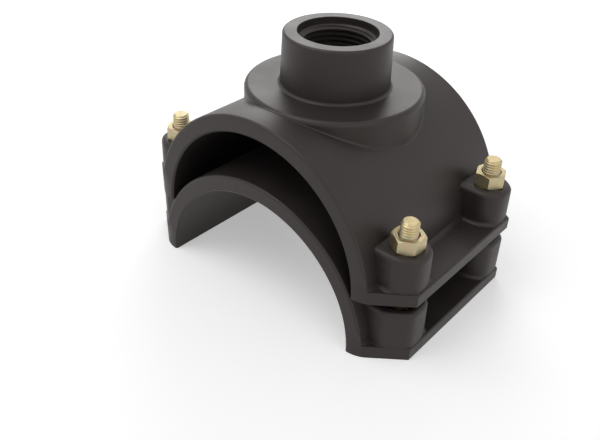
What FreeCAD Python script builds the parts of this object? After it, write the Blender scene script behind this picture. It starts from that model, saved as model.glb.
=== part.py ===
# Four-bolt tapping saddle for a 110 mm plastic pressure pipe, with a 1 inch threaded outlet.
# It is stored as it is sold: the lower half lies under the upper half, the same way up,
# and stands on its two mating faces. Millimetres, +Z up, the pipe runs along Y.
# The origin is on the floor, midway between the four bolts.
import FreeCAD, Part

import math
import os

# Pipe and the two moulded halves
pipe_diameter = 110.0
saddle_length = 107.5
wall = 8.0
clamped_gap = 2.0          # left between the mating faces once both halves grip the pipe
nest_clearance = 0.3       # between the lower half's back and the upper half's inner edges
end_chamfer = 1.1          # outer edge of the half pipe at both ends
bore_lead = 0.8            # chamfer at both ends of the bore

# Flanges along both sides of each half
flange_thickness = 6.0
flange_reach = 16.3        # from the half pipe to the straight outer edge
corner_cut_length = 14.35  # diagonal corner: along Y, from the end of the half pipe
corner_cut_width = 18.5    # diagonal corner: along X, from the straight outer edge
flange_chamfer = 0.6

# Lugs round the bolts
bolt_offset = 4.8          # bolt axis beyond the half pipe's outer surface
bolt_inset = 19.5          # bolt axis from the end of the half pipe
upper_lug_radius = 10.8
upper_lug_height = 22.8    # above the mating face
lower_lug_radius = 12.3
lower_lug_height = 25.4    # above the mating face
lug_draft = 1.5            # degrees
lug_rim = 1.0              # chamfer round the lug's top
lug_foot = 1.5             # slanted blend between lug and flange
lug_overlap = 7.0          # how far a lug runs into the wall of the half pipe

# Outlet boss on its round pad
pad_radius = 41.2
pad_rise = 0.8             # pad top above the crown of the half pipe
pad_rounding = 2.0
boss_radius = 24.4         # at the top
boss_height = 24.0         # above the pad
boss_draft = 1.7           # degrees
boss_rim = 0.8             # chamfer round the boss's top
boss_cove = 1.8
mouth_radius = 18.0
mouth_depth = 3.0
thread_minor_radius = 15.15    # 1 inch parallel pipe thread
thread_major_radius = 16.62
thread_length = 20.0
thread_lead = 0.3          # thread countersink beyond the major radius
port_radius = 13.0

# Rubber seal in its seat round the port
seal_margin = 5.5          # from the port to the seal's seat
seal_width = 6.0
seal_seat_depth = 4.5
seal_proud = 1.2
seal_clearance = 0.1

# M8 bolts with their nuts
bolt_radius = 4.0
bolt_length = 50.0
bolt_end_chamfer = 1.0
head_height = 5.3
nut_height = 6.5
hex_across_flats = 13.0
hex_chamfer = 30.0         # degrees, on the corners of the nuts
hex_face_margin = 0.2      # how far each corner's cut runs in past the nut's flats
bolt_hole_radius = 4.5
nut_clearance = 0.05       # radial, nut on bolt
nut_countersink = 0.5
socket_floor = 10.8        # hex socket in the lower lug: floor above the mating face
socket_clearance = 0.15    # between each flat of the head and the socket
socket_lead = 0.6          # chamfer at the socket's mouth

# The four corners, and how far each nut was left turned (degrees)
corners = {
    "front_right": (1, -1, -2.0),
    "rear_right": (1, 1, 23.0),
    "front_left": (-1, -1, 37.0),
    "rear_left": (-1, 1, 18.0),
}

# Worked out from the sizes above
bore_radius = pipe_diameter / 2
outer_radius = bore_radius + wall
face_offset = clamped_gap / 2          # each mating face lies this far above its pipe axis
lower_axis = -face_offset
nest_reach = outer_radius + nest_clearance
nest_rise = math.sqrt(nest_reach ** 2 - bore_radius ** 2 + face_offset ** 2) - face_offset
upper_axis = lower_axis + nest_rise
upper_face = upper_axis + face_offset
flange_edge = outer_radius + flange_reach
bolt_x = outer_radius + bolt_offset
bolt_y = saddle_length / 2 - bolt_inset
pad_top = upper_axis + outer_radius + pad_rise
boss_top = pad_top + boss_height
seal_inner_radius = port_radius + seal_margin
seal_outer_radius = seal_inner_radius + seal_width
nut_seat = upper_face + upper_lug_height
head_seat = socket_floor + head_height
bolt_end = head_seat + bolt_length
margin = 5.0                           # how far cutting tools run past what they cut

UP = FreeCAD.Vector(0, 0, 1)
ALONG = FreeCAD.Vector(0, 1, 0)
ORIGIN = FreeCAD.Vector(0, 0, 0)


def at(x, y, z):
    return FreeCAD.Vector(x, y, z)


def line(start, end):
    return Part.LineSegment(start, end).toShape()


def eased(start, centre, end):
    """A quarter-round edge about centre, worked as two flats that meet on the true arc."""
    chord = (start + end) * 0.5 - centre
    radius = (start - centre).Length
    middle = centre + chord.normalize() * radius
    return [line(start, middle), line(middle, end)]


def face_of(edges):
    return Part.Face(Part.Wire(edges))


def turned(edges, centre, axis):
    """The solid of revolution of a half section about an axis."""
    return face_of(edges).revolve(centre, axis, 360)


def half_pipe_bar(axis_z):
    """The round bar that the half pipe is cut from, with chamfered ends."""
    end = saddle_length / 2
    shoulder = end - end_chamfer
    rim = outer_radius - end_chamfer
    outline = [
        at(0, -end, 0), at(0, -end, rim), at(0, -shoulder, outer_radius),
        at(0, shoulder, outer_radius), at(0, end, rim), at(0, end, 0),
    ]
    bar = turned(Part.makePolygon(outline + outline[:1]).Edges, ORIGIN, ALONG)
    bar.translate(at(0, 0, axis_z))
    return bar


def bore_tool(axis_z):
    """The pipe's space, with a lead-in chamfer at both ends."""
    end = saddle_length / 2
    tip = end + margin
    flare = bore_radius + bore_lead + margin
    outline = [
        at(0, -tip, 0), at(0, -tip, flare), at(0, -end + bore_lead, bore_radius),
        at(0, end - bore_lead, bore_radius), at(0, tip, flare), at(0, tip, 0),
    ]
    tool = turned(Part.makePolygon(outline + outline[:1]).Edges, ORIGIN, ALONG)
    tool.translate(at(0, 0, axis_z))
    return tool


def flange_outline(z):
    """The plan of the flanges: straight sides, diagonal corners, square ends."""
    end = saddle_length / 2
    straight = end - corner_cut_length
    shoulder = flange_edge - corner_cut_width
    points = [
        (flange_edge, -straight), (flange_edge, straight), (shoulder, end), (-shoulder, end),
        (-flange_edge, straight), (-flange_edge, -straight), (-shoulder, -end), (shoulder, -end),
    ]
    corners_at = [at(x, y, z) for x, y in points]
    return face_of(Part.makePolygon(corners_at + corners_at[:1]).Edges)


def flange_plate(face_z):
    """The flanges of both sides in one plate, with its upper outer edges chamfered."""
    plate = flange_outline(face_z).extrude(UP * flange_thickness)
    top = face_z + flange_thickness
    rims = [edge for edge in plate.Edges
            if abs(edge.BoundBox.ZMin - top) < 1e-6 and abs(edge.CenterOfMass.x) > outer_radius]
    return plate.makeChamfer(flange_chamfer, rims)


def lug_section(radius, base_z, flange_top, top_z):
    """Half section of a lug in the XZ plane: drafted wall, blended foot and chamfered rim."""
    spread = (top_z - flange_top) * math.tan(math.radians(lug_draft))
    base = radius + spread
    outline = [
        at(0, 0, base_z), at(base + lug_foot, 0, base_z), at(base + lug_foot, 0, flange_top),
        at(base, 0, flange_top + lug_foot), at(radius, 0, top_z - lug_rim),
        at(radius - lug_rim, 0, top_z), at(0, 0, top_z),
    ]
    return Part.makePolygon(outline + outline[:1]).Edges


def lug(radius, base_z, flange_top, top_z):
    """One lug on the +X side about its bolt axis: a round end and straight sides."""
    section = lug_section(radius, base_z, flange_top, top_z)
    round_end = turned(section, ORIGIN, UP)
    side = face_of(section)
    side.rotate(ORIGIN, UP, 90)
    other_side = side.mirror(ORIGIN, ALONG)
    run = bolt_offset + lug_overlap
    bar = side.extrude(at(-run, 0, 0)).fuse(other_side.extrude(at(-run, 0, 0)))
    return round_end.fuse(bar).removeSplitter()


def four_times(shape):
    """Copies of a +X corner shape, which stands on its bolt axis, at the four bolts."""
    copies = []
    for side_x, side_y, _turn in corners.values():
        copy = shape.copy()
        if side_x < 0:
            copy.rotate(ORIGIN, UP, 180)
        copy.translate(at(side_x * bolt_x, side_y * bolt_y, 0))
        copies.append(copy)
    return copies


def half_blank(axis_z, face_z, lug_radius, lug_height):
    """Half pipe, flanges and lugs in one piece, before any hole is cut."""
    flange_top = face_z + flange_thickness
    lug_top = face_z + lug_height
    corner_lug = lug(lug_radius, face_z, flange_top, lug_top)
    trim = flange_outline(face_z).extrude(UP * lug_height)
    lugs = [copy.common(trim) for copy in four_times(corner_lug)]
    blank = half_pipe_bar(axis_z).fuse([flange_plate(face_z)] + lugs)
    return blank


def below(face_z):
    """Everything under a mating face."""
    reach = 2 * flange_edge
    return Part.makeBox(2 * reach, 2 * reach, reach, at(-reach, -reach, face_z - reach))


def bolt_holes(low_z, high_z):
    hole = Part.makeCylinder(bolt_hole_radius, high_z - low_z, at(0, 0, low_z))
    return four_times(hole)


def hex_corner(across_flats):
    """The distance of a hexagon's corners from its middle."""
    return across_flats / 2 / math.cos(math.radians(30))


def hexagon(across_flats, z):
    """A hexagonal face about the Z axis with one pair of flats facing X."""
    corner = hex_corner(across_flats)
    points = [at(corner * math.cos(math.radians(angle)), corner * math.sin(math.radians(angle)), z)
              for angle in range(30, 391, 60)]
    return face_of(Part.makePolygon(points).Edges)


def hex_taper(low_across, low_z, high_across, high_z):
    """A hexagonal form whose six flats slope evenly from one width to another."""
    ends = [hexagon(low_across, low_z).OuterWire, hexagon(high_across, high_z).OuterWire]
    return Part.makeLoft(ends, True, True)


def socket(low_z, top_z):
    """The hexagonal socket for a bolt head, open at the top, with a lead-in."""
    across = hex_across_flats + 2 * socket_clearance
    widening = socket_lead + margin
    pocket = hexagon(across, low_z).extrude(UP * (top_z - socket_lead - low_z))
    lead = hex_taper(across, top_z - socket_lead, across + 2 * widening, top_z + margin)
    return pocket.fuse(lead)


def outlet_blank():
    """The round pad with the outlet boss on it, as one turned form."""
    slant = math.tan(math.radians(boss_draft))
    foot = boss_radius + boss_height * slant
    cove_top = at(foot - boss_cove * slant, 0, pad_top + boss_cove)
    cove_foot = at(cove_top.x + boss_cove, 0, pad_top)
    rim_low = at(boss_radius, 0, boss_top - boss_rim)
    rim_high = at(boss_radius - boss_rim, 0, boss_top)
    edge_high = at(pad_radius - pad_rounding, 0, pad_top)
    edge_low = at(pad_radius, 0, pad_top - pad_rounding)
    low_outer = at(pad_radius, 0, upper_face)
    low_inner = at(0, 0, upper_face)
    top_inner = at(0, 0, boss_top)
    edges = [line(low_inner, low_outer), line(low_outer, edge_low)]
    edges += eased(edge_low, at(edge_high.x, 0, edge_low.z), edge_high)
    edges += [line(edge_high, cove_foot)]
    edges += eased(cove_foot, at(cove_foot.x, 0, cove_top.z), cove_top)
    edges += [line(cove_top, rim_low), line(rim_low, rim_high)]
    edges += [line(rim_high, top_inner), line(top_inner, low_inner)]
    return turned(edges, ORIGIN, UP)


def outlet_tool():
    """Mouth recess, thread bore with its countersink, and the port into the pipe."""
    ledge = boss_top - mouth_depth
    lead_radius = thread_major_radius + thread_lead
    lead_foot = ledge - (lead_radius - thread_minor_radius)
    thread_end = ledge - thread_length
    top = boss_top + margin
    outline = [
        at(0, 0, upper_axis), at(port_radius, 0, upper_axis), at(port_radius, 0, thread_end),
        at(thread_minor_radius, 0, thread_end), at(thread_minor_radius, 0, lead_foot),
        at(lead_radius, 0, ledge), at(mouth_radius, 0, ledge), at(mouth_radius, 0, top),
        at(0, 0, top),
    ]
    return turned(Part.makePolygon(outline + outline[:1]).Edges, ORIGIN, UP)


def ring_about_outlet(inner, outer, low_radius, high_radius):
    """A saddle-shaped ring: between two radii of the outlet and two radii of the pipe."""
    height = high_radius + margin
    tube = Part.makeCylinder(outer, height, at(0, 0, upper_axis))
    tube = tube.cut(Part.makeCylinder(inner, height, at(0, 0, upper_axis)))
    reach = 2 * outer + 2 * margin
    start = at(0, -reach / 2, upper_axis)
    shell = Part.makeCylinder(high_radius, reach, start, ALONG)
    shell = shell.cut(Part.makeCylinder(low_radius, reach, start, ALONG))
    return tube.common(shell)


def upper_half():
    blank = half_blank(upper_axis, upper_face, upper_lug_radius, upper_lug_height)
    blank = blank.fuse(outlet_blank())
    seat = ring_about_outlet(seal_inner_radius, seal_outer_radius,
                             bore_radius - margin, bore_radius + seal_seat_depth)
    holes = bolt_holes(upper_face - margin, nut_seat + margin)
    cut = blank.cut([below(upper_face), bore_tool(upper_axis), outlet_tool(), seat] + holes)
    return cut.removeSplitter()


def lower_half():
    blank = half_blank(lower_axis, 0.0, lower_lug_radius, lower_lug_height)
    sockets = four_times(socket(socket_floor, lower_lug_height))
    holes = bolt_holes(-margin, socket_floor + margin)
    cut = blank.cut([below(0.0), bore_tool(lower_axis)] + sockets + holes)
    return cut.removeSplitter()


def outlet_seal():
    return ring_about_outlet(seal_inner_radius + seal_clearance, seal_outer_radius - seal_clearance,
                             bore_radius - seal_proud,
                             bore_radius + seal_seat_depth - seal_clearance)


def chamfered_hex(low_z, high_z):
    """A hexagonal prism with each corner cut back by a sloping flat at its upper end."""
    prism = hexagon(hex_across_flats, low_z).extrude(UP * (high_z - low_z))
    corner = hex_corner(hex_across_flats)
    face_radius = hex_across_flats / 2 - hex_face_margin
    shoulder = high_z - (corner - face_radius) * math.tan(math.radians(hex_chamfer))
    body = hexagon(hex_across_flats, low_z).extrude(UP * (shoulder - low_z))
    crown = hex_taper(2 * corner, shoulder, 2 * face_radius, high_z)
    crown.rotate(ORIGIN, UP, 30)
    return body.fuse(crown.common(prism)).removeSplitter()


def bolt():
    """A hex bolt on the Z axis, its head down in the socket and its end up."""
    head = hexagon(hex_across_flats, socket_floor).extrude(UP * head_height)
    outline = [
        at(0, 0, head_seat - head_height / 2), at(bolt_radius, 0, head_seat - head_height / 2),
        at(bolt_radius, 0, bolt_end - bolt_end_chamfer),
        at(bolt_radius - bolt_end_chamfer, 0, bolt_end), at(0, 0, bolt_end),
    ]
    shank = turned(Part.makePolygon(outline + outline[:1]).Edges, ORIGIN, UP)
    return head.fuse(shank).removeSplitter()


def nut():
    """A hex nut on the Z axis, lying on the upper lug."""
    top = nut_seat + nut_height
    body = chamfered_hex(nut_seat, top)
    bore = bolt_radius + nut_clearance
    mouth = bore + nut_countersink
    outline = [
        at(0, 0, nut_seat), at(bore, 0, nut_seat), at(bore, 0, top - nut_countersink),
        at(mouth, 0, top), at(0, 0, top),
    ]
    return body.cut(turned(Part.makePolygon(outline + outline[:1]).Edges, ORIGIN, UP))


def placed(shape, side_x, side_y, turn):
    copy = shape.copy()
    copy.rotate(ORIGIN, UP, turn)
    copy.translate(at(side_x * bolt_x, side_y * bolt_y, 0))
    return copy


def build():
    nodes = {
        "upper_half": upper_half(),
        "lower_half": lower_half(),
        "outlet_seal": outlet_seal(),
    }
    one_bolt = bolt()
    one_nut = nut()
    for corner, (side_x, side_y, turn) in corners.items():
        nodes["bolt_" + corner] = placed(one_bolt, side_x, side_y, 0.0)
        nodes["nut_" + corner] = placed(one_nut, side_x, side_y, turn)
    return nodes


os.makedirs("parts", exist_ok=True)
for name, shape in build().items():
    solids = shape.Solids
    if len(solids) != 1 or not shape.isValid():
        raise ValueError(name + " is not one sound solid")
    solids[0].exportStep("parts/" + name + ".step")
    box = shape.BoundBox
    print(name, round(shape.Volume / 1000, 2), "cm3",
          [round(v, 2) for v in (box.XMin, box.YMin, box.ZMin, box.XMax, box.YMax, box.ZMax)])
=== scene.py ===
# Looks of the tapping saddle: detailed mouldings, threaded bolts and nuts, materials, light, camera.
# Sizes are in millimetres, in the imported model's frame, and become metres as a mesh is made.
import math

import bmesh
import bpy
from mathutils import Matrix, Vector


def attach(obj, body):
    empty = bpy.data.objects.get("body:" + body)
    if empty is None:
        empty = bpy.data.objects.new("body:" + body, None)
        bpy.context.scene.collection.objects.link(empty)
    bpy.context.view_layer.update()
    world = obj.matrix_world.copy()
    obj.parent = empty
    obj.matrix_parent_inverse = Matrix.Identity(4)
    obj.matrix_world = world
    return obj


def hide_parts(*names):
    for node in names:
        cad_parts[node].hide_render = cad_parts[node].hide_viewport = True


MM = 0.001

# Half pipes
bore_radius = 55.0
wall = 8.0
saddle_length = 107.5
clamped_gap = 2.0
nest_clearance = 0.3
end_rounding = 1.3
bore_lead = 0.8

# Flanges
flange_thickness = 6.0
flange_reach = 16.3
corner_cut_length = 14.35
corner_cut_width = 18.5
flange_rounding = 0.9
flange_fillet = 2.6
web_depth = 2.0            # how far the hollow blend goes down into the flange
foot_easing = 5.0          # from the diagonal corner to the start of the foot's curve
foot_fade = 12.0           # above the flange, where the curve has faded into the flat end face
foot_tool_side = 2.0
foot_tool_skim = 0.02      # between the faded cutter and the end face

# Lugs
bolt_offset = 4.8
bolt_inset = 19.5
upper_lug_radius = 10.8
upper_lug_height = 22.8
lower_lug_radius = 12.3
lower_lug_height = 25.4
lug_draft = 1.5
lug_rim = 2.3
lug_cove = 2.0
lug_overlap = 7.0
lug_setback = 0.25
lug_foot_sink = 0.03
lug_blend = 14             # how sharply the round wall turns off along the flange's edges

# Outlet
pad_radius = 41.2
pad_rise = 0.8
pad_rounding = 2.2
pad_fillet_least = 0.12
pad_fillet_most = 1.6
pad_fillet_share = 0.14    # of the height of pad wall that shows
boss_radius = 24.4
boss_height = 24.0
boss_draft = 1.7
boss_rim = 1.3
boss_cove = 1.5
mouth_radius = 18.0
mouth_depth = 3.0
mouth_edge = 0.2
thread_minor_radius = 15.15
thread_major_radius = 16.62
thread_pitch = 2.309
thread_length = 20.0
thread_lead = 0.3
thread_stop = 1.0          # from the port's ledge to the end of the thread
thread_tool_sink = 0.3     # the thread tool's core inside the minor radius
port_radius = 13.0
seal_inner_radius = 18.5
seal_outer_radius = 24.5
seal_seat_depth = 4.5

# Bolts and nuts
bolt_radius = 4.0
bolt_core_radius = 3.3
bolt_pitch = 1.25
bolt_thread_length = 38.0
bolt_length = 50.0
bolt_point_length = 2.0
bolt_point_depth = 1.0
shank_run = 1.5            # the plain shank past the start of the thread
shank_taper = 1.2
shank_tip_sink = 0.5       # the taper's tip inside the thread's core
head_height = 5.3
head_crown = 0.88          # the round flat on the head's end, as a share of its corners' width
head_crown_height = 0.6
nut_height = 6.5
nut_clearance = 0.05
nut_countersink = 0.75
hex_across_flats = 13.0
hex_face_margin = 0.1      # how far the nut's round flats run in past its sides
hex_chamfer = 30.0         # degrees
bolt_hole_radius = 4.5
socket_floor = 10.8
socket_clearance = 0.15
socket_lead = 0.6

# Bolt places in plan, and how far each nut was left turned (degrees)
corners = {
    "front_right": (1, -1, -2.0),
    "rear_right": (1, 1, 23.0),
    "front_left": (-1, -1, 37.0),
    "rear_left": (-1, 1, 18.0),
}

# Worked out from the sizes above
outer_radius = bore_radius + wall
lower_axis = -clamped_gap / 2
nest_reach = outer_radius + nest_clearance
nest_rise = math.sqrt(nest_reach ** 2 - bore_radius ** 2 + lower_axis ** 2) + lower_axis
upper_axis = lower_axis + nest_rise
upper_face = upper_axis + clamped_gap / 2
end = saddle_length / 2
flange_edge = outer_radius + flange_reach
bolt_x = outer_radius + bolt_offset
bolt_y = end - bolt_inset
pad_top = upper_axis + outer_radius + pad_rise
boss_top = pad_top + boss_height
nut_seat = upper_face + upper_lug_height
head_seat = socket_floor + head_height
bolt_end = head_seat + bolt_length
margin = 5.0               # how far a large cutter runs past what it cuts
sink = 3.0                 # how far a blend or its cutter runs past what it meets
clear = 1.0                # the same for a small one

# Stage
ambient = 0.42             # strength of the even white light
floor_reach = 1000.0
floor_grey = 0.85
near_painted_glow = 0.37           # painted light: the floor's glow near the object and far from it
far_painted_glow = 0.66
near_distance = 0.25       # metres
far_distance = 0.70
lamp_aim = (0.0, 0.0, 60.0)
camera_aim = (29.3, -54.5, 55.0)

# Steps round a form, or along a quarter or less of an arc
PIPE_ROUND = 256
ROUND = 192
THREAD_ROUND = 120
NUT_ROUND = 96
LUG_ROUND = 64
BOLT_ROUND = 48
FOOT_STEPS = 12
ARC_STEPS = 8
EDGE_STEPS = 5

# Distances under which points are one: as a form is made (mm), and once it is finished (m)
WELD_MM = 1e-4
WELD_M = 2e-6
SPECK_M = 1e-6

LEAST_COSINE = 1e-3        # what is divided by is never smaller


def quarter(steps=ARC_STEPS):
    """Angles from none to a quarter turn, in even steps."""
    return [math.pi / 2 * k / steps for k in range(steps + 1)]


def rounded(section, steps=6):
    """A closed section from corners given as (across, up, rounding radius)."""
    points = []
    for i, (across, up, radius) in enumerate(section):
        here = Vector((across, up))
        if not radius:
            points.append(here)
            continue
        before = (Vector(section[i - 1][:2]) - here).normalized()
        after = (Vector(section[(i + 1) % len(section)][:2]) - here).normalized()
        half = before.angle(after) / 2
        centre = here + (before + after).normalized() * (radius / math.sin(half))
        start = here + before * (radius / math.tan(half)) - centre
        stop = here + after * (radius / math.tan(half)) - centre
        for k in range(steps + 1):
            points.append(centre + start.slerp(stop, k / steps).normalized() * radius)
    return points


def new_object(name, bm):
    """An object from a bmesh in millimetres, with its normals outward."""
    bmesh.ops.remove_doubles(bm, verts=bm.verts, dist=WELD_MM)
    bmesh.ops.recalc_face_normals(bm, faces=bm.faces)
    bmesh.ops.scale(bm, vec=(MM, MM, MM), verts=bm.verts)
    mesh = bpy.data.meshes.new(name)
    bm.to_mesh(mesh)
    bm.free()
    obj = bpy.data.objects.new(name, mesh)
    bpy.context.scene.collection.objects.link(obj)
    return obj


def skin(bm, rings, closed_along=False):
    """Quads between neighbouring rings of vertices, which all have the same length."""
    last = len(rings) if closed_along else len(rings) - 1
    for k in range(last):
        here, there = rings[k], rings[(k + 1) % len(rings)]
        for i in range(len(here)):
            j = (i + 1) % len(here)
            corners_of_face = [here[i], here[j], there[j], there[i]]
            spots = {tuple(round(c, 6) for c in v.co) for v in corners_of_face}
            if len(spots) > 2:
                bm.faces.new(corners_of_face)


def lathe(name, section, height=0.0, along_pipe=False, steps=ROUND):
    """A turned form: a closed section (radius, place along) about Z, or about the pipe's axis."""
    bm = bmesh.new()
    rings = []
    for k in range(steps):
        angle = 2 * math.pi * k / steps
        ring = []
        for radius, along in section:
            a, b = radius * math.cos(angle), radius * math.sin(angle)
            spot = (a, along, b + height) if along_pipe else (a, b, along + height)
            ring.append(bm.verts.new(spot))
        rings.append(ring)
    skin(bm, rings, closed_along=True)
    return new_object(name, bm)


def prism(name, outline, low, high):
    """A straight-sided form standing on a plan outline."""
    bm = bmesh.new()
    rings = [[bm.verts.new((x, y, z)) for x, y in outline] for z in (low, high)]
    skin(bm, rings)
    for ring in rings:
        bm.faces.new(ring)
    return new_object(name, bm)


def move(obj, x, y, turn=0.0):
    """Turns an object's mesh about Z and then shifts it in plan (millimetres, degrees)."""
    obj.data.transform(Matrix.Translation((x * MM, y * MM, 0.0))
                       @ Matrix.Rotation(math.radians(turn), 4, "Z"))
    return obj


def combine(base, others, operation):
    """Joins, cuts or intersects base with each of the others, which are used up."""
    for other in others:
        modifier = base.modifiers.new("combine", "BOOLEAN")
        modifier.solver = "MANIFOLD"
        modifier.operation = operation
        modifier.object = other
    bake(base)
    for other in others:
        bpy.data.objects.remove(other)
    return base


def bake(obj):
    """Applies the object's modifiers."""
    graph = bpy.context.evaluated_depsgraph_get()
    graph.update()
    mesh = bpy.data.meshes.new_from_object(obj.evaluated_get(graph))
    obj.modifiers.clear()
    old = obj.data
    obj.data = mesh
    bpy.data.meshes.remove(old)


def finish_surface(obj, sharp_angle=32.0):
    """Smooth shading that stays crisp on edges sharper than the angle."""
    bm = bmesh.new()
    bm.from_mesh(obj.data)
    bmesh.ops.remove_doubles(bm, verts=bm.verts, dist=WELD_M)
    bmesh.ops.dissolve_degenerate(bm, edges=bm.edges, dist=SPECK_M)
    for face in bm.faces:
        face.smooth = True
    for edge in bm.edges:
        if len(edge.link_faces) == 2:
            edge.smooth = edge.calc_face_angle(0.0) < math.radians(sharp_angle)
    bm.to_mesh(obj.data)
    bm.free()
    even = obj.modifiers.new("even", "WEIGHTED_NORMAL")
    even.keep_sharp = True
    bake(obj)
    return obj


def half_pipe_bar(name, axis):
    """The round bar that a half pipe is cut from, with rounded ends."""
    section = rounded([
        (0, -end, 0), (outer_radius, -end, end_rounding), (outer_radius, end, end_rounding),
        (0, end, 0),
    ])
    return lathe(name, section, axis, along_pipe=True, steps=PIPE_ROUND)


def bore_tool(name, axis):
    """The pipe's space, with a lead-in chamfer at both ends."""
    tip = end + margin
    flare = bore_radius + bore_lead + margin
    section = [
        (0, -tip), (flare, -tip), (bore_radius, -end + bore_lead),
        (bore_radius, end - bore_lead), (flare, tip), (0, tip),
    ]
    return lathe(name, section, axis, along_pipe=True, steps=PIPE_ROUND)


def flange_outline(inset=0.0):
    """The plan of both flanges, drawn in by the inset on its outer sides."""
    straight = end - corner_cut_length
    slope = math.atan2(corner_cut_length, corner_cut_width)
    edge = flange_edge - inset
    low = straight - (inset / math.sin(slope) - inset / math.tan(slope))
    shoulder = flange_edge - corner_cut_width - inset / math.sin(slope)
    return [
        (edge, -low), (edge, low), (shoulder, end), (-shoulder, end),
        (-edge, low), (-edge, -low), (-shoulder, -end), (shoulder, -end),
    ]


def flange_plate(name, face):
    """The flanges of both sides as one plate, its upper outer edges rounded."""
    bm = bmesh.new()
    top = face + flange_thickness
    rings = [[bm.verts.new((x, y, face)) for x, y in flange_outline()]]
    for angle in quarter(EDGE_STEPS):
        inset = flange_rounding * (1 - math.cos(angle))
        z = top - flange_rounding * (1 - math.sin(angle))
        rings.append([bm.verts.new((x, y, z)) for x, y in flange_outline(inset)])
    skin(bm, rings)
    bm.faces.new(rings[0])
    bm.faces.new(rings[-1])
    return new_object(name, bm)


def flange_fillet_web(name, axis, face, side):
    """The hollow blend where a flange meets the half pipe, along the whole length."""
    top = face + flange_thickness
    radius = flange_fillet
    foot = top - axis
    near = math.sqrt(outer_radius ** 2 - foot ** 2)
    high = math.sqrt(outer_radius ** 2 - (foot + radius) ** 2)
    centre = Vector((high + radius, top + radius))
    arc = [centre - Vector((math.cos(a), math.sin(a))) * radius for a in quarter()]
    section = [(near - sink, top - web_depth), (near - sink, top + radius)]
    section += [tuple(p) for p in arc] + [(high + radius, top - web_depth)]
    bm = bmesh.new()
    rings = []
    for y in (-end + end_rounding, end - end_rounding):
        rings.append([bm.verts.new((side * x, y, z)) for x, z in section])
    skin(bm, rings)
    for ring in rings:
        bm.faces.new(ring)
    edge = prism("edge", flange_outline(flange_rounding), top - sink, top + radius + clear)
    return combine(new_object(name, bm), [edge], "INTERSECT")


def foot_curve(name, face, side_x, side_y):
    """What comes off one foot, so that its end face curves into the flange's diagonal corner."""
    slope = math.atan2(corner_cut_length, corner_cut_width)
    start = flange_edge - corner_cut_width - foot_easing
    radius = foot_easing / math.tan(slope / 2)
    curve = [(start + radius * math.sin(a), end - radius * (1 - math.cos(a)))
             for a in (slope * k / FOOT_STEPS for k in range(FOOT_STEPS + 1))]
    top = face + flange_thickness
    levels = [(face - margin, 0.0)]
    levels += [(top + foot_fade * k / ARC_STEPS, (1 - math.cos(math.pi * k / ARC_STEPS)) / 2)
               for k in range(ARC_STEPS + 1)]
    bm = bmesh.new()
    rings = []
    for z, faded in levels:
        plan = [(x, y + (end + foot_tool_skim - y) * faded) for x, y in curve]
        plan += [(curve[-1][0] + foot_tool_side, end + sink), (start - foot_tool_side, end + sink)]
        rings.append([bm.verts.new((side_x * x, side_y * y, z)) for x, y in plan])
    skin(bm, rings)
    for ring in (rings[0], rings[-1]):
        bm.faces.new(ring)
    return new_object(name, bm)


def room_about_bolt(angle, hand, setback):
    """How far a lug may reach from its bolt before the flange's edge or diagonal corner."""
    slope = math.atan2(corner_cut_width, corner_cut_length)
    low = bolt_y - (end - corner_cut_length)
    beyond = flange_edge - bolt_x
    diagonal = beyond * math.cos(slope) - low * math.sin(slope)
    to_edge = (beyond - setback) / max(math.cos(angle), LEAST_COSINE)
    to_diagonal = (diagonal - setback) / max(math.cos(angle - hand * slope), LEAST_COSINE)
    return [to_edge, to_diagonal]


def lug_levels(radius, flange_top, top):
    """Heights up a lug with the wall's radius and how far the surface stands off that wall."""
    levels = [(flange_top - flange_thickness / 2, lug_cove)]
    for a in quarter():
        levels.append((flange_top - lug_foot_sink + lug_cove * (1 - math.cos(a)),
                       lug_cove * (1 - math.sin(a))))
    for a in quarter():
        levels.append((top - lug_rim * (1 - math.sin(a)), -lug_rim * (1 - math.cos(a))))
    slant = math.tan(math.radians(lug_draft))
    return [(z, radius + (top - z) * slant, stand_off) for z, stand_off in levels]


def lug(name, radius, face, height, hand):
    """One lug on the +X side about its bolt axis: a round end, eased off along the flange's edges."""
    flange_top = face + flange_thickness
    run = bolt_offset + lug_overlap
    turns = [math.pi * k / LUG_ROUND - math.pi / 2 for k in range(LUG_ROUND + 1)]
    bm = bmesh.new()
    rings = []
    for z, wall_radius, stand_off in lug_levels(radius, flange_top, face + height):
        plan = []
        for a in turns:
            limits = [wall_radius] + room_about_bolt(a, hand, lug_setback)
            reach = sum(limit ** -lug_blend for limit in limits) ** (-1 / lug_blend)
            if stand_off > 0:
                spare = min(room_about_bolt(a, hand, flange_rounding)) - reach
                share = max(0.0, min(1.0, spare / lug_cove))
                reach += stand_off * share
            else:
                reach += stand_off
            plan.append((reach * math.cos(a), reach * math.sin(a)))
        plan = [(-run, plan[0][1])] + plan + [(-run, plan[-1][1])]
        rings.append([bm.verts.new((x, y, z)) for x, y in plan])
    skin(bm, rings)
    for ring in (rings[0], rings[-1]):
        bm.faces.new(ring)
    return new_object(name, bm)


def at_corners(name, make):
    """Four +X corner forms, one at each bolt; make gets a name and which way the corner is cut."""
    copies = []
    for corner, (side_x, side_y, _turn) in corners.items():
        copy = make(name + "_" + corner, side_x * side_y)
        move(copy, side_x * bolt_x, side_y * bolt_y, turn=0.0 if side_x > 0 else 180.0)
        copies.append(copy)
    return copies


def half_blank(name, axis, face, lug_radius, lug_height):
    """Half pipe, flanges, blends and lugs in one piece, before any hole is cut."""
    lugs = at_corners(name + "_lug", lambda n, hand: lug(n, lug_radius, face, lug_height, hand))
    webs = [flange_fillet_web(name + "_web", axis, face, side) for side in (1, -1)]
    feet = [foot_curve(name + "_foot", face, side_x, side_y) for side_x, side_y, _turn
            in corners.values()]
    blank = half_pipe_bar(name, axis)
    combine(blank, [flange_plate(name + "_flange", face)] + webs + lugs, "UNION")
    return combine(blank, feet, "DIFFERENCE")


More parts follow.
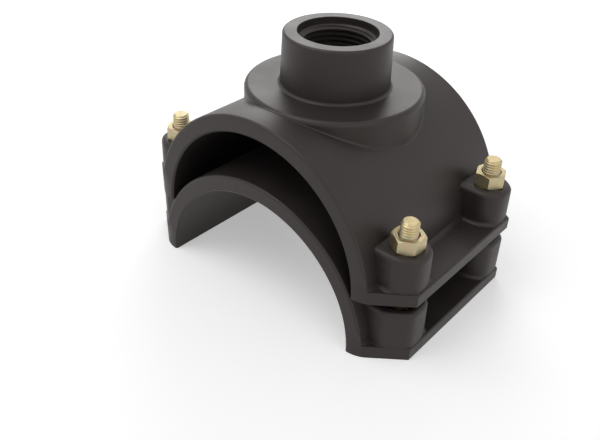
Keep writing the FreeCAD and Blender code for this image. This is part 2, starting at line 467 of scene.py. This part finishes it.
def block_below(face):
    """Everything under a mating face."""
    reach = 2 * flange_edge
    square = [(-reach, -reach), (reach, -reach), (reach, reach), (-reach, reach)]
    return prism("below", square, face - reach, face)


def hole(name, low, high):
    """What comes out for one bolt."""
    section = [(0, low), (bolt_hole_radius, low), (bolt_hole_radius, high), (0, high)]
    return lathe(name, section, steps=BOLT_ROUND)


def hex_corner(across_flats):
    """The distance of a hexagon's corners from its middle."""
    return across_flats / 2 / math.cos(math.radians(30))


def hexagon(across_flats):
    """A hexagon's outline, with one pair of flats facing X."""
    corner = hex_corner(across_flats)
    return [(corner * math.cos(math.radians(a)), corner * math.sin(math.radians(a)))
            for a in range(30, 390, 60)]


def outlet_blank():
    """Round pad and outlet boss as one turned form."""
    foot = boss_radius + boss_height * math.tan(math.radians(boss_draft))
    section = rounded([
        (0, upper_face, 0), (pad_radius, upper_face, 0), (pad_radius, pad_top, pad_rounding),
        (foot, pad_top, boss_cove), (boss_radius, boss_top, boss_rim), (0, boss_top, 0),
    ], steps=ARC_STEPS)
    return lathe("outlet", section)


def pad_fillet():
    """The hollow blend where the pad's wall meets the half pipe, smaller where the wall is low."""
    bm = bmesh.new()
    rings = []
    for k in range(ROUND):
        angle = 2 * math.pi * k / ROUND
        across = math.cos(angle)
        level = math.sqrt(outer_radius ** 2 - (pad_radius * across) ** 2)
        fall = math.atan2(pad_radius * across ** 2, level)
        exposed = pad_top - upper_axis - level
        radius = min(pad_fillet_most, pad_fillet_least + pad_fillet_share * exposed)
        reach = radius * math.tan((math.pi / 2 - fall) / 2)
        centre = Vector((pad_radius + radius, level + reach))
        turn = math.pi / 2 - fall
        ring = [(pad_radius - sink, level - sink), (pad_radius - sink, level + reach)]
        for step in range(ARC_STEPS + 1):
            a = math.pi + turn * step / ARC_STEPS
            ring.append((centre.x + radius * math.cos(a), centre.y + radius * math.sin(a)))
        far = pad_radius + reach * math.cos(fall)
        ring.append((far, level - sink - (far - pad_radius) * math.tan(fall)))
        rings.append([bm.verts.new((r * across, r * math.sin(angle), z + upper_axis))
                      for r, z in ring])
    skin(bm, rings, closed_along=True)
    return new_object("pad_fillet", bm)


def outlet_tool():
    """Mouth recess, thread core with its countersink, and the port into the pipe."""
    ledge = boss_top - mouth_depth
    lead = thread_major_radius + thread_lead
    foot = ledge - (lead - thread_minor_radius)
    section = rounded([
        (0, upper_axis, 0), (port_radius, upper_axis, 0),
        (port_radius, ledge - thread_length, 0), (thread_minor_radius, ledge - thread_length, 0),
        (thread_minor_radius, foot, 0), (lead, ledge, 0), (mouth_radius, ledge, 0),
        (mouth_radius, boss_top - mouth_edge, 0),
        (mouth_radius + mouth_edge + margin, boss_top + margin, 0), (0, boss_top + margin, 0),
    ])
    return lathe("outlet_tool", section)


def helix(name, low, high, pitch, root, crest, steps):
    """A threaded rod about Z from low to high; its thread fades over the last turn at both ends."""
    profile = (0.0, 0.12, 0.5, 0.88, 1.0, 0.88, 0.5, 0.12)
    rows = int((high - low) / pitch * len(profile)) - len(profile)
    bm = bmesh.new()
    grid = {}

    def vertex(i, j):
        if i == steps:
            return vertex(0, j + len(profile))
        if (i, j) not in grid:
            z = low + pitch * (j / len(profile) + i / steps)
            edge = min(z - low, high - z) / pitch
            depth = max(0.0, min(1.0, edge)) * profile[j % len(profile)]
            radius = root + (crest - root) * depth
            angle = 2 * math.pi * i / steps
            grid[(i, j)] = bm.verts.new((radius * math.cos(angle), radius * math.sin(angle), z))
        return grid[(i, j)]

    for j in range(rows):
        for i in range(steps):
            bm.faces.new([vertex(i, j), vertex(i + 1, j), vertex(i + 1, j + 1), vertex(i, j + 1)])
    for j, z in ((0, low), (rows, high)):
        rim = [vertex(i, j) for i in range(steps)]
        rim += [vertex(0, j + k) for k in range(len(profile), 0, -1)]
        middle = bm.verts.new((0, 0, z + pitch * 0.5 if j == 0 else z - pitch * 0.5))
        for k in range(len(rim)):
            bm.faces.new([middle, rim[k], rim[(k + 1) % len(rim)]])
    return new_object(name, bm)


def ring_about_outlet(inner, outer, low, high):
    """A saddle-shaped ring between two radii of the outlet and two radii of the pipe."""
    tube = lathe("ring", [(inner, 0), (outer, 0), (outer, high + margin), (inner, high + margin)],
                 upper_axis)
    reach = outer + margin
    shell = lathe("shell", [(low, -reach), (high, -reach), (high, reach), (low, reach)],
                  upper_axis, along_pipe=True)
    return combine(tube, [shell], "INTERSECT")


def make_upper_half():
    """Half pipe with pad and boss, its thread, bore, seal seat and bolt holes."""
    blank = half_blank("upper_half_moulding", upper_axis, upper_face, upper_lug_radius,
                       upper_lug_height)
    combine(blank, [outlet_blank(), pad_fillet()], "UNION")
    ledge = boss_top - mouth_depth
    cutter = helix("thread_tool", ledge - thread_length + thread_stop, ledge + 2 * thread_pitch,
                   thread_pitch, thread_minor_radius - thread_tool_sink, thread_major_radius,
                   THREAD_ROUND)
    seat = ring_about_outlet(seal_inner_radius, seal_outer_radius, bore_radius - margin,
                             bore_radius + seal_seat_depth)
    holes = at_corners("hole", lambda n, _hand: hole(n, upper_face - margin, nut_seat + margin))
    combine(blank, [outlet_tool()], "DIFFERENCE")
    combine(blank, [cutter], "DIFFERENCE")
    combine(blank, [block_below(upper_face), bore_tool("bore", upper_axis)], "DIFFERENCE")
    combine(blank, [seat] + holes, "DIFFERENCE")
    return finish_surface(blank)


def socket(name, _hand):
    """The hexagonal socket for a bolt head, with a turned lead-in."""
    across = hex_across_flats + 2 * socket_clearance
    corner = hex_corner(across)
    top = lower_lug_height
    pocket = prism(name, hexagon(across), socket_floor, top + margin)
    low = top - socket_lead - clear
    section = [(0, low), (corner - clear, low), (corner + socket_lead + margin, top + margin),
               (0, top + margin)]
    return combine(pocket, [lathe("lead", section, steps=LUG_ROUND)], "UNION")


def make_lower_half():
    """Half pipe with its bore, the four sockets and the bolt holes under them."""
    blank = half_blank("lower_half_moulding", lower_axis, 0.0, lower_lug_radius, lower_lug_height)
    combine(blank, [block_below(0.0), bore_tool("bore", lower_axis)], "DIFFERENCE")
    combine(blank, at_corners("socket", socket), "DIFFERENCE")
    combine(blank, at_corners("hole", lambda n, _hand: hole(n, -margin, socket_floor + margin)),
            "DIFFERENCE")
    return finish_surface(blank)


def make_bolt(name):
    """A hex bolt on the Z axis: head in the socket, plain shank, rolled thread and pointed end."""
    corner = hex_corner(hex_across_flats)
    head = prism(name, hexagon(hex_across_flats), socket_floor, head_seat)
    crown = [(0, socket_floor), (corner * head_crown, socket_floor),
             (corner, socket_floor + head_crown_height), (corner, head_seat), (0, head_seat)]
    combine(head, [lathe("crown", crown, steps=LUG_ROUND)], "INTERSECT")
    thread_start = bolt_end - bolt_thread_length
    shank_end = thread_start + shank_run
    tip = shank_end + shank_taper
    plain = [(0, head_seat - clear), (bolt_radius, head_seat - clear), (bolt_radius, shank_end),
             (bolt_core_radius - shank_tip_sink, tip), (0, tip)]
    rod = helix("rod", thread_start, bolt_end + 2 * bolt_pitch, bolt_pitch, bolt_core_radius,
                bolt_radius, BOLT_ROUND)
    point = [(0, thread_start - clear), (bolt_radius + clear, thread_start - clear),
             (bolt_radius + clear, bolt_end - bolt_point_length),
             (bolt_radius - bolt_point_depth, bolt_end), (0, bolt_end)]
    combine(rod, [lathe("point", point, steps=BOLT_ROUND)], "INTERSECT")
    combine(head, [lathe("plain", plain, steps=BOLT_ROUND), rod], "UNION")
    return head


def make_nut(name):
    """A hex nut on its lug, chamfered at both ends, with a countersunk mouth at both ends."""
    corner = hex_corner(hex_across_flats)
    flat = hex_across_flats / 2 - hex_face_margin
    drop = (corner - flat) * math.tan(math.radians(hex_chamfer))
    top = nut_seat + nut_height
    body = prism(name, hexagon(hex_across_flats), nut_seat, top)
    turned = [(0, nut_seat), (flat, nut_seat), (corner, nut_seat + drop), (corner, top - drop),
              (flat, top), (0, top)]
    combine(body, [lathe("turned", turned, steps=NUT_ROUND)], "INTERSECT")
    bore = bolt_radius + nut_clearance
    wide = bore + nut_countersink + clear
    section = [(0, nut_seat - clear), (wide, nut_seat - clear), (bore, nut_seat + nut_countersink),
               (bore, top - nut_countersink), (wide, top + clear), (0, top + clear)]
    combine(body, [lathe("bore", section, steps=BOLT_ROUND)], "DIFFERENCE")
    return body


class Nodes:
    """A short way to lay out a material's nodes."""

    def __init__(self, name):
        self.material = bpy.data.materials.new(name)
        self.material.use_nodes = True
        self.tree = self.material.node_tree
        self.shader = self.tree.nodes["Principled BSDF"]
        self.place = self.add("ShaderNodeTexCoord").outputs["Object"]

    def add(self, kind, **settings):
        node = self.tree.nodes.new(kind)
        for key, value in settings.items():
            setattr(node, key, value)
        return node

    def link(self, source, target):
        self.tree.links.new(source, target)

    def noise(self, scale, detail=3.0, roughness=0.55):
        node = self.add("ShaderNodeTexNoise")
        node.inputs["Scale"].default_value = scale
        node.inputs["Detail"].default_value = detail
        node.inputs["Roughness"].default_value = roughness
        self.link(self.place, node.inputs["Vector"])
        return node.outputs["Fac"]

    def ramp(self, source, stops):
        node = self.add("ShaderNodeValToRGB")
        elements = node.color_ramp.elements
        while len(elements) < len(stops):
            elements.new(0.5)
        for element, (place, colour) in zip(elements, stops):
            element.position = place
            element.color = (*colour, 1.0)
        self.link(source, node.inputs["Fac"])
        return node.outputs["Color"]

    def span(self, source, low, high, from_low=0.3, from_high=0.7):
        node = self.add("ShaderNodeMapRange")
        node.inputs["From Min"].default_value = from_low
        node.inputs["From Max"].default_value = from_high
        node.inputs["To Min"].default_value = low
        node.inputs["To Max"].default_value = high
        self.link(source, node.inputs["Value"])
        return node.outputs["Result"]

    def bump(self, source, distance, strength=1.0, under=None):
        node = self.add("ShaderNodeBump")
        node.inputs["Distance"].default_value = distance
        node.inputs["Strength"].default_value = strength
        self.link(source, node.inputs["Height"])
        if under is not None:
            self.link(under, node.inputs["Normal"])
        return node.outputs["Normal"]


def black_plastic():
    """Satin black polypropylene: soft orange peel, cloudy sheen and a few pale handling marks."""
    n = Nodes("black_plastic")
    cloud = n.noise(45.0, 4.0)
    tone = n.ramp(cloud, [(0.3, (0.0205, 0.0164, 0.0156)), (0.75, (0.0290, 0.0236, 0.0226))])
    speck = n.noise(900.0, 2.0, 0.5)
    field = n.noise(60.0, 2.0, 0.5)
    marks = n.add("ShaderNodeMath", operation="MULTIPLY")
    n.link(n.span(speck, 0.0, 1.0, from_low=0.72, from_high=0.80), marks.inputs[0])
    n.link(n.span(field, 0.0, 1.0, from_low=0.60, from_high=0.72), marks.inputs[1])
    mix = n.add("ShaderNodeMix", data_type="RGBA")
    n.link(marks.outputs[0], mix.inputs["Factor"])
    n.link(tone, mix.inputs["A"])
    mix.inputs["B"].default_value = (0.16, 0.155, 0.15, 1.0)
    n.link(mix.outputs["Result"], n.shader.inputs["Base Color"])
    n.link(n.span(cloud, 0.40, 0.50), n.shader.inputs["Roughness"])
    peel = n.bump(n.noise(700.0, 2.0, 0.5), distance=0.00006, strength=0.35)
    waves = n.bump(n.noise(70.0, 2.0, 0.4), distance=0.0004, strength=0.18, under=peel)
    n.link(waves, n.shader.inputs["Normal"])
    n.shader.inputs["IOR"].default_value = 1.42
    n.shader.inputs["Specular Tint"].default_value = (1.0, 0.93, 0.89, 1.0)
    return n.material


def seal_rubber():
    """Dull black rubber."""
    n = Nodes("seal_rubber")
    cloud = n.noise(120.0, 3.0)
    n.link(n.ramp(cloud, [(0.3, (0.012, 0.012, 0.012)), (0.7, (0.022, 0.022, 0.023))]),
           n.shader.inputs["Base Color"])
    n.link(n.span(cloud, 0.6, 0.75), n.shader.inputs["Roughness"])
    grain = n.bump(n.noise(1500.0, 2.0), distance=0.00004, strength=0.4)
    n.link(grain, n.shader.inputs["Normal"])
    return n.material


def yellow_zinc():
    """Yellow-passivated zinc: pale gold that drifts to green and rose, with dull cloudy patches."""
    n = Nodes("yellow_zinc")
    drift = n.noise(190.0, 3.0, 0.6)
    tone = n.ramp(drift, [
        (0.30, (0.50, 0.41, 0.23)), (0.45, (0.54, 0.44, 0.25)), (0.56, (0.46, 0.43, 0.28)),
        (0.70, (0.55, 0.38, 0.25)),
    ])
    n.link(tone, n.shader.inputs["Base Color"])
    n.shader.inputs["Metallic"].default_value = 1.0
    patch = n.noise(500.0, 3.0)
    n.link(n.span(patch, 0.40, 0.55), n.shader.inputs["Roughness"])
    grain = n.bump(n.noise(1300.0, 3.0), distance=0.00004, strength=0.5)
    n.link(grain, n.shader.inputs["Normal"])
    return n.material


def dress(obj, material, body, node):
    """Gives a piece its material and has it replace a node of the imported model."""
    obj.data.materials.clear()
    obj.data.materials.append(material)
    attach(obj, body)
    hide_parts(node)


def plain_view_rays(tree):
    """One for rays that come from the camera, a reflection or glass, and nothing for the others."""
    rays = tree.nodes.new("ShaderNodeLightPath")
    seen = rays.outputs["Is Camera Ray"]
    for kind in ("Is Glossy Ray", "Is Transmission Ray"):
        either = tree.nodes.new("ShaderNodeMath")
        either.operation = "MAXIMUM"
        tree.links.new(seen, either.inputs[0])
        tree.links.new(rays.outputs[kind], either.inputs[1])
        seen = either.outputs[0]
    return seen


def make_floor():
    """A white floor that keeps the object's shadow, with painted light: a glow that is weaker near
    the object and grows to plain white farther away.
    """
    bm = bmesh.new()
    signs = ((-1, -1), (1, -1), (1, 1), (-1, 1))
    bm.faces.new([bm.verts.new((x * floor_reach, y * floor_reach, 0)) for x, y in signs])
    floor = new_object("floor", bm)
    n = Nodes("floor")
    n.shader.inputs["Base Color"].default_value = (floor_grey, floor_grey, floor_grey, 1.0)
    n.shader.inputs["Roughness"].default_value = 0.9
    n.shader.inputs["Emission Color"].default_value = (1.0, 1.0, 1.0, 1.0)
    away = n.add("ShaderNodeVectorMath", operation="LENGTH")
    n.link(n.place, away.inputs[0])
    lift = n.add("ShaderNodeMath", operation="MULTIPLY")
    n.link(plain_view_rays(n.tree), lift.inputs[0])
    # painted light: glow on the floor for camera and reflection rays, weaker near the object and
    # stronger farther off
    glow = n.span(away.outputs["Value"], near_painted_glow, far_painted_glow, near_distance, far_distance)
    n.link(glow, lift.inputs[1])
    n.link(lift.outputs[0], n.shader.inputs["Emission Strength"])
    floor.data.materials.append(n.material)


def make_world():
    """Even white light, with a plain white background behind the object."""
    world = bpy.data.worlds.new("studio")
    bpy.context.scene.world = world
    world.use_nodes = True
    tree = world.node_tree
    background = tree.nodes["Background"]
    background.inputs["Color"].default_value = (1.0, 1.0, 1.0, 1.0)
    background.inputs["Strength"].default_value = ambient
    plain = tree.nodes.new("ShaderNodeBackground")
    plain.inputs["Color"].default_value = (1.0, 1.0, 1.0, 1.0)
    mix = tree.nodes.new("ShaderNodeMixShader")
    tree.links.new(plain_view_rays(tree), mix.inputs["Fac"])
    tree.links.new(background.outputs[0], mix.inputs[1])
    tree.links.new(plain.outputs[0], mix.inputs[2])
    tree.links.new(mix.outputs[0], tree.nodes["World Output"].inputs["Surface"])


def make_lamp(name, azimuth, elevation, distance, size, power):
    """A square soft light that faces the object's middle (azimuth from the front towards +X)."""
    lamp = bpy.data.lights.new(name, "AREA")
    lamp.size = size * MM
    lamp.energy = power
    obj = bpy.data.objects.new(name, lamp)
    bpy.context.scene.collection.objects.link(obj)
    look_from(obj, azimuth, elevation, distance, aim=lamp_aim)


def look_from(obj, azimuth, elevation, distance, aim, roll=0.0):
    """Stands an object off the aim point and turns its -Z axis to it."""
    turn = (Matrix.Rotation(math.radians(azimuth), 4, "Z")
            @ Matrix.Rotation(math.radians(90 - elevation), 4, "X")
            @ Matrix.Rotation(math.radians(roll), 4, "Z"))
    back = turn.to_3x3() @ Vector((0, 0, 1))
    spot = (Vector(aim) + back * distance) * MM
    obj.matrix_world = Matrix.Translation(spot) @ turn


def make_camera():
    """The photograph's view: 600 by 440, from the front right and above, tipped slightly."""
    camera = bpy.data.cameras.new("camera")
    camera.sensor_fit = "HORIZONTAL"
    camera.sensor_width = 36.0
    camera.lens = 44.03
    camera.shift_x = -0.0057
    camera.shift_y = 0.0109
    camera.clip_start = 0.01
    obj = bpy.data.objects.new("camera", camera)
    bpy.context.scene.collection.objects.link(obj)
    look_from(obj, 38.96, 35.03, distance=305.2, aim=camera_aim, roll=2.47)
    bpy.context.scene.camera = obj


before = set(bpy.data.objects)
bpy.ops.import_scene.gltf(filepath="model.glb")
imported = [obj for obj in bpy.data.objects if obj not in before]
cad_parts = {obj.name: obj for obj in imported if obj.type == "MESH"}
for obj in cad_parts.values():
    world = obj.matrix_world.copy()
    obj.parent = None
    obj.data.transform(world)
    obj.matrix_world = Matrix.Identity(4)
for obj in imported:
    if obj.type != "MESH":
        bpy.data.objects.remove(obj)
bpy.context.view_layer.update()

plastic = black_plastic()
zinc = yellow_zinc()
rubber = seal_rubber()

dress(make_upper_half(), plastic, "saddle_halves", "upper_half")
dress(make_lower_half(), plastic, "saddle_halves", "lower_half")
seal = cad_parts["outlet_seal"]
seal.data.materials.clear()
seal.data.materials.append(rubber)
for corner, (side_x, side_y, nut_turn) in corners.items():
    bolt_piece = move(make_bolt("bolt_detail_" + corner), side_x * bolt_x, side_y * bolt_y)
    dress(finish_surface(bolt_piece), zinc, "bolt_" + corner, "bolt_" + corner)
    nut_piece = move(make_nut("nut_detail_" + corner), side_x * bolt_x, side_y * bolt_y,
                     turn=nut_turn)
    dress(finish_surface(nut_piece), zinc, "nut_" + corner, "nut_" + corner)

make_floor()
make_world()
make_lamp("back", azimuth=219.0, elevation=25.0, distance=900.0, size=500.0, power=2.4)
make_lamp("key", azimuth=-40.0, elevation=60.0, distance=900.0, size=600.0, power=2.5)
make_lamp("fill", azimuth=75.0, elevation=30.0, distance=1000.0, size=700.0, power=1.2)
make_camera()
bpy.context.scene.view_settings.view_transform = "Standard"
